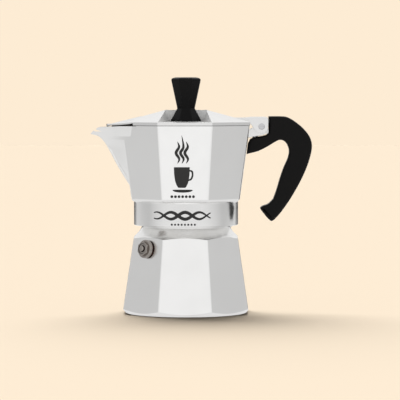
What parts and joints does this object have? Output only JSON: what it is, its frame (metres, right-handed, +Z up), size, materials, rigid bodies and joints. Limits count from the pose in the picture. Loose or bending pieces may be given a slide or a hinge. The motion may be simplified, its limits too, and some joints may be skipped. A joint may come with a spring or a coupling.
{
  "type": "moka pot",
  "caption": "Octagonal aluminium stovetop coffee pot: boiler with safety valve, funnel, screw-on collector with spout and handle, hinged lid with knob.",
  "frame": {"origin": "centre of the boiler's flat underside, on the pot's turning axis, where it stands on the hob", "axes": "+Z up along the pot's axis; +X towards the handle and the lid's hinge, -X towards the spout; +Y to the back"},
  "size_m": [0.1502, 0.087, 0.16],
  "materials": {
    "cast_aluminium": "polished casting, fine turned and sanded marks",
    "spun_aluminium": "plain spun and pressed sheet",
    "nickel_plate": "dull nickel plate on brass",
    "brass": "turned",
    "steel": "zinc plated",
    "white_rubber": "smooth moulded",
    "red_fibre": "pressed fibre",
    "black_phenolic": "satin moulded"
  },
  "bodies": {
    "base": {"boiler": "cast_aluminium", "valve_body": "nickel_plate", "valve_washer": "red_fibre", "valve_cap": "nickel_plate"},
    "funnel_set": {"funnel": "spun_aluminium", "funnel_screen": "spun_aluminium"},
    "plunger": {"valve_plunger": "brass", "valve_spring": "steel"},
    "seal": {"gasket": "white_rubber", "filter_plate": "spun_aluminium"},
    "upper": {"collector": "cast_aluminium", "column": "spun_aluminium", "hinge_pin": "steel", "handle": "black_phenolic", "handle_screw": "steel"},
    "cover": {"lid": "cast_aluminium", "knob": "black_phenolic", "knob_insert": "brass", "knob_washer": "steel", "knob_screw": "steel"}
  },
  "joints": [
    {"name": "valve_slide", "type": "slide", "parent": "base", "child": "plunger", "axis": [-0.6996, -0.6996, 0.145], "range_m": [0, 0.0012], "stiffness_N_per_m": 1000, "springref_m": -0.002},
    {"name": "collector_lift", "type": "slide", "parent": "base", "child": "seal", "axis": [0, 0, 1], "range_m": [0, 0.00801]},
    {"name": "funnel_lift", "type": "slide", "parent": "base", "child": "funnel_set", "axis": [0, 0, 1], "range_m": [0, 0.00801]},
    {"name": "collector_turn", "type": "hinge", "parent": "seal", "child": "upper", "pos_m": [0, 0, 0.065], "axis": [0, 0, 1], "range_deg": [0, 900]},
    {"name": "lid_hinge", "type": "hinge", "parent": "upper", "child": "cover", "pos_m": [0.0513, 0, 0.1267], "axis": [0, 1, 0], "range_deg": [0, 100]}
  ],
  "couplings": [
    {"joint": "collector_lift", "follows": "collector_turn", "m_per_rad": 0.0005093},
    {"joint": "funnel_lift", "follows": "collector_turn", "m_per_rad": 0.0005093}
  ]
}
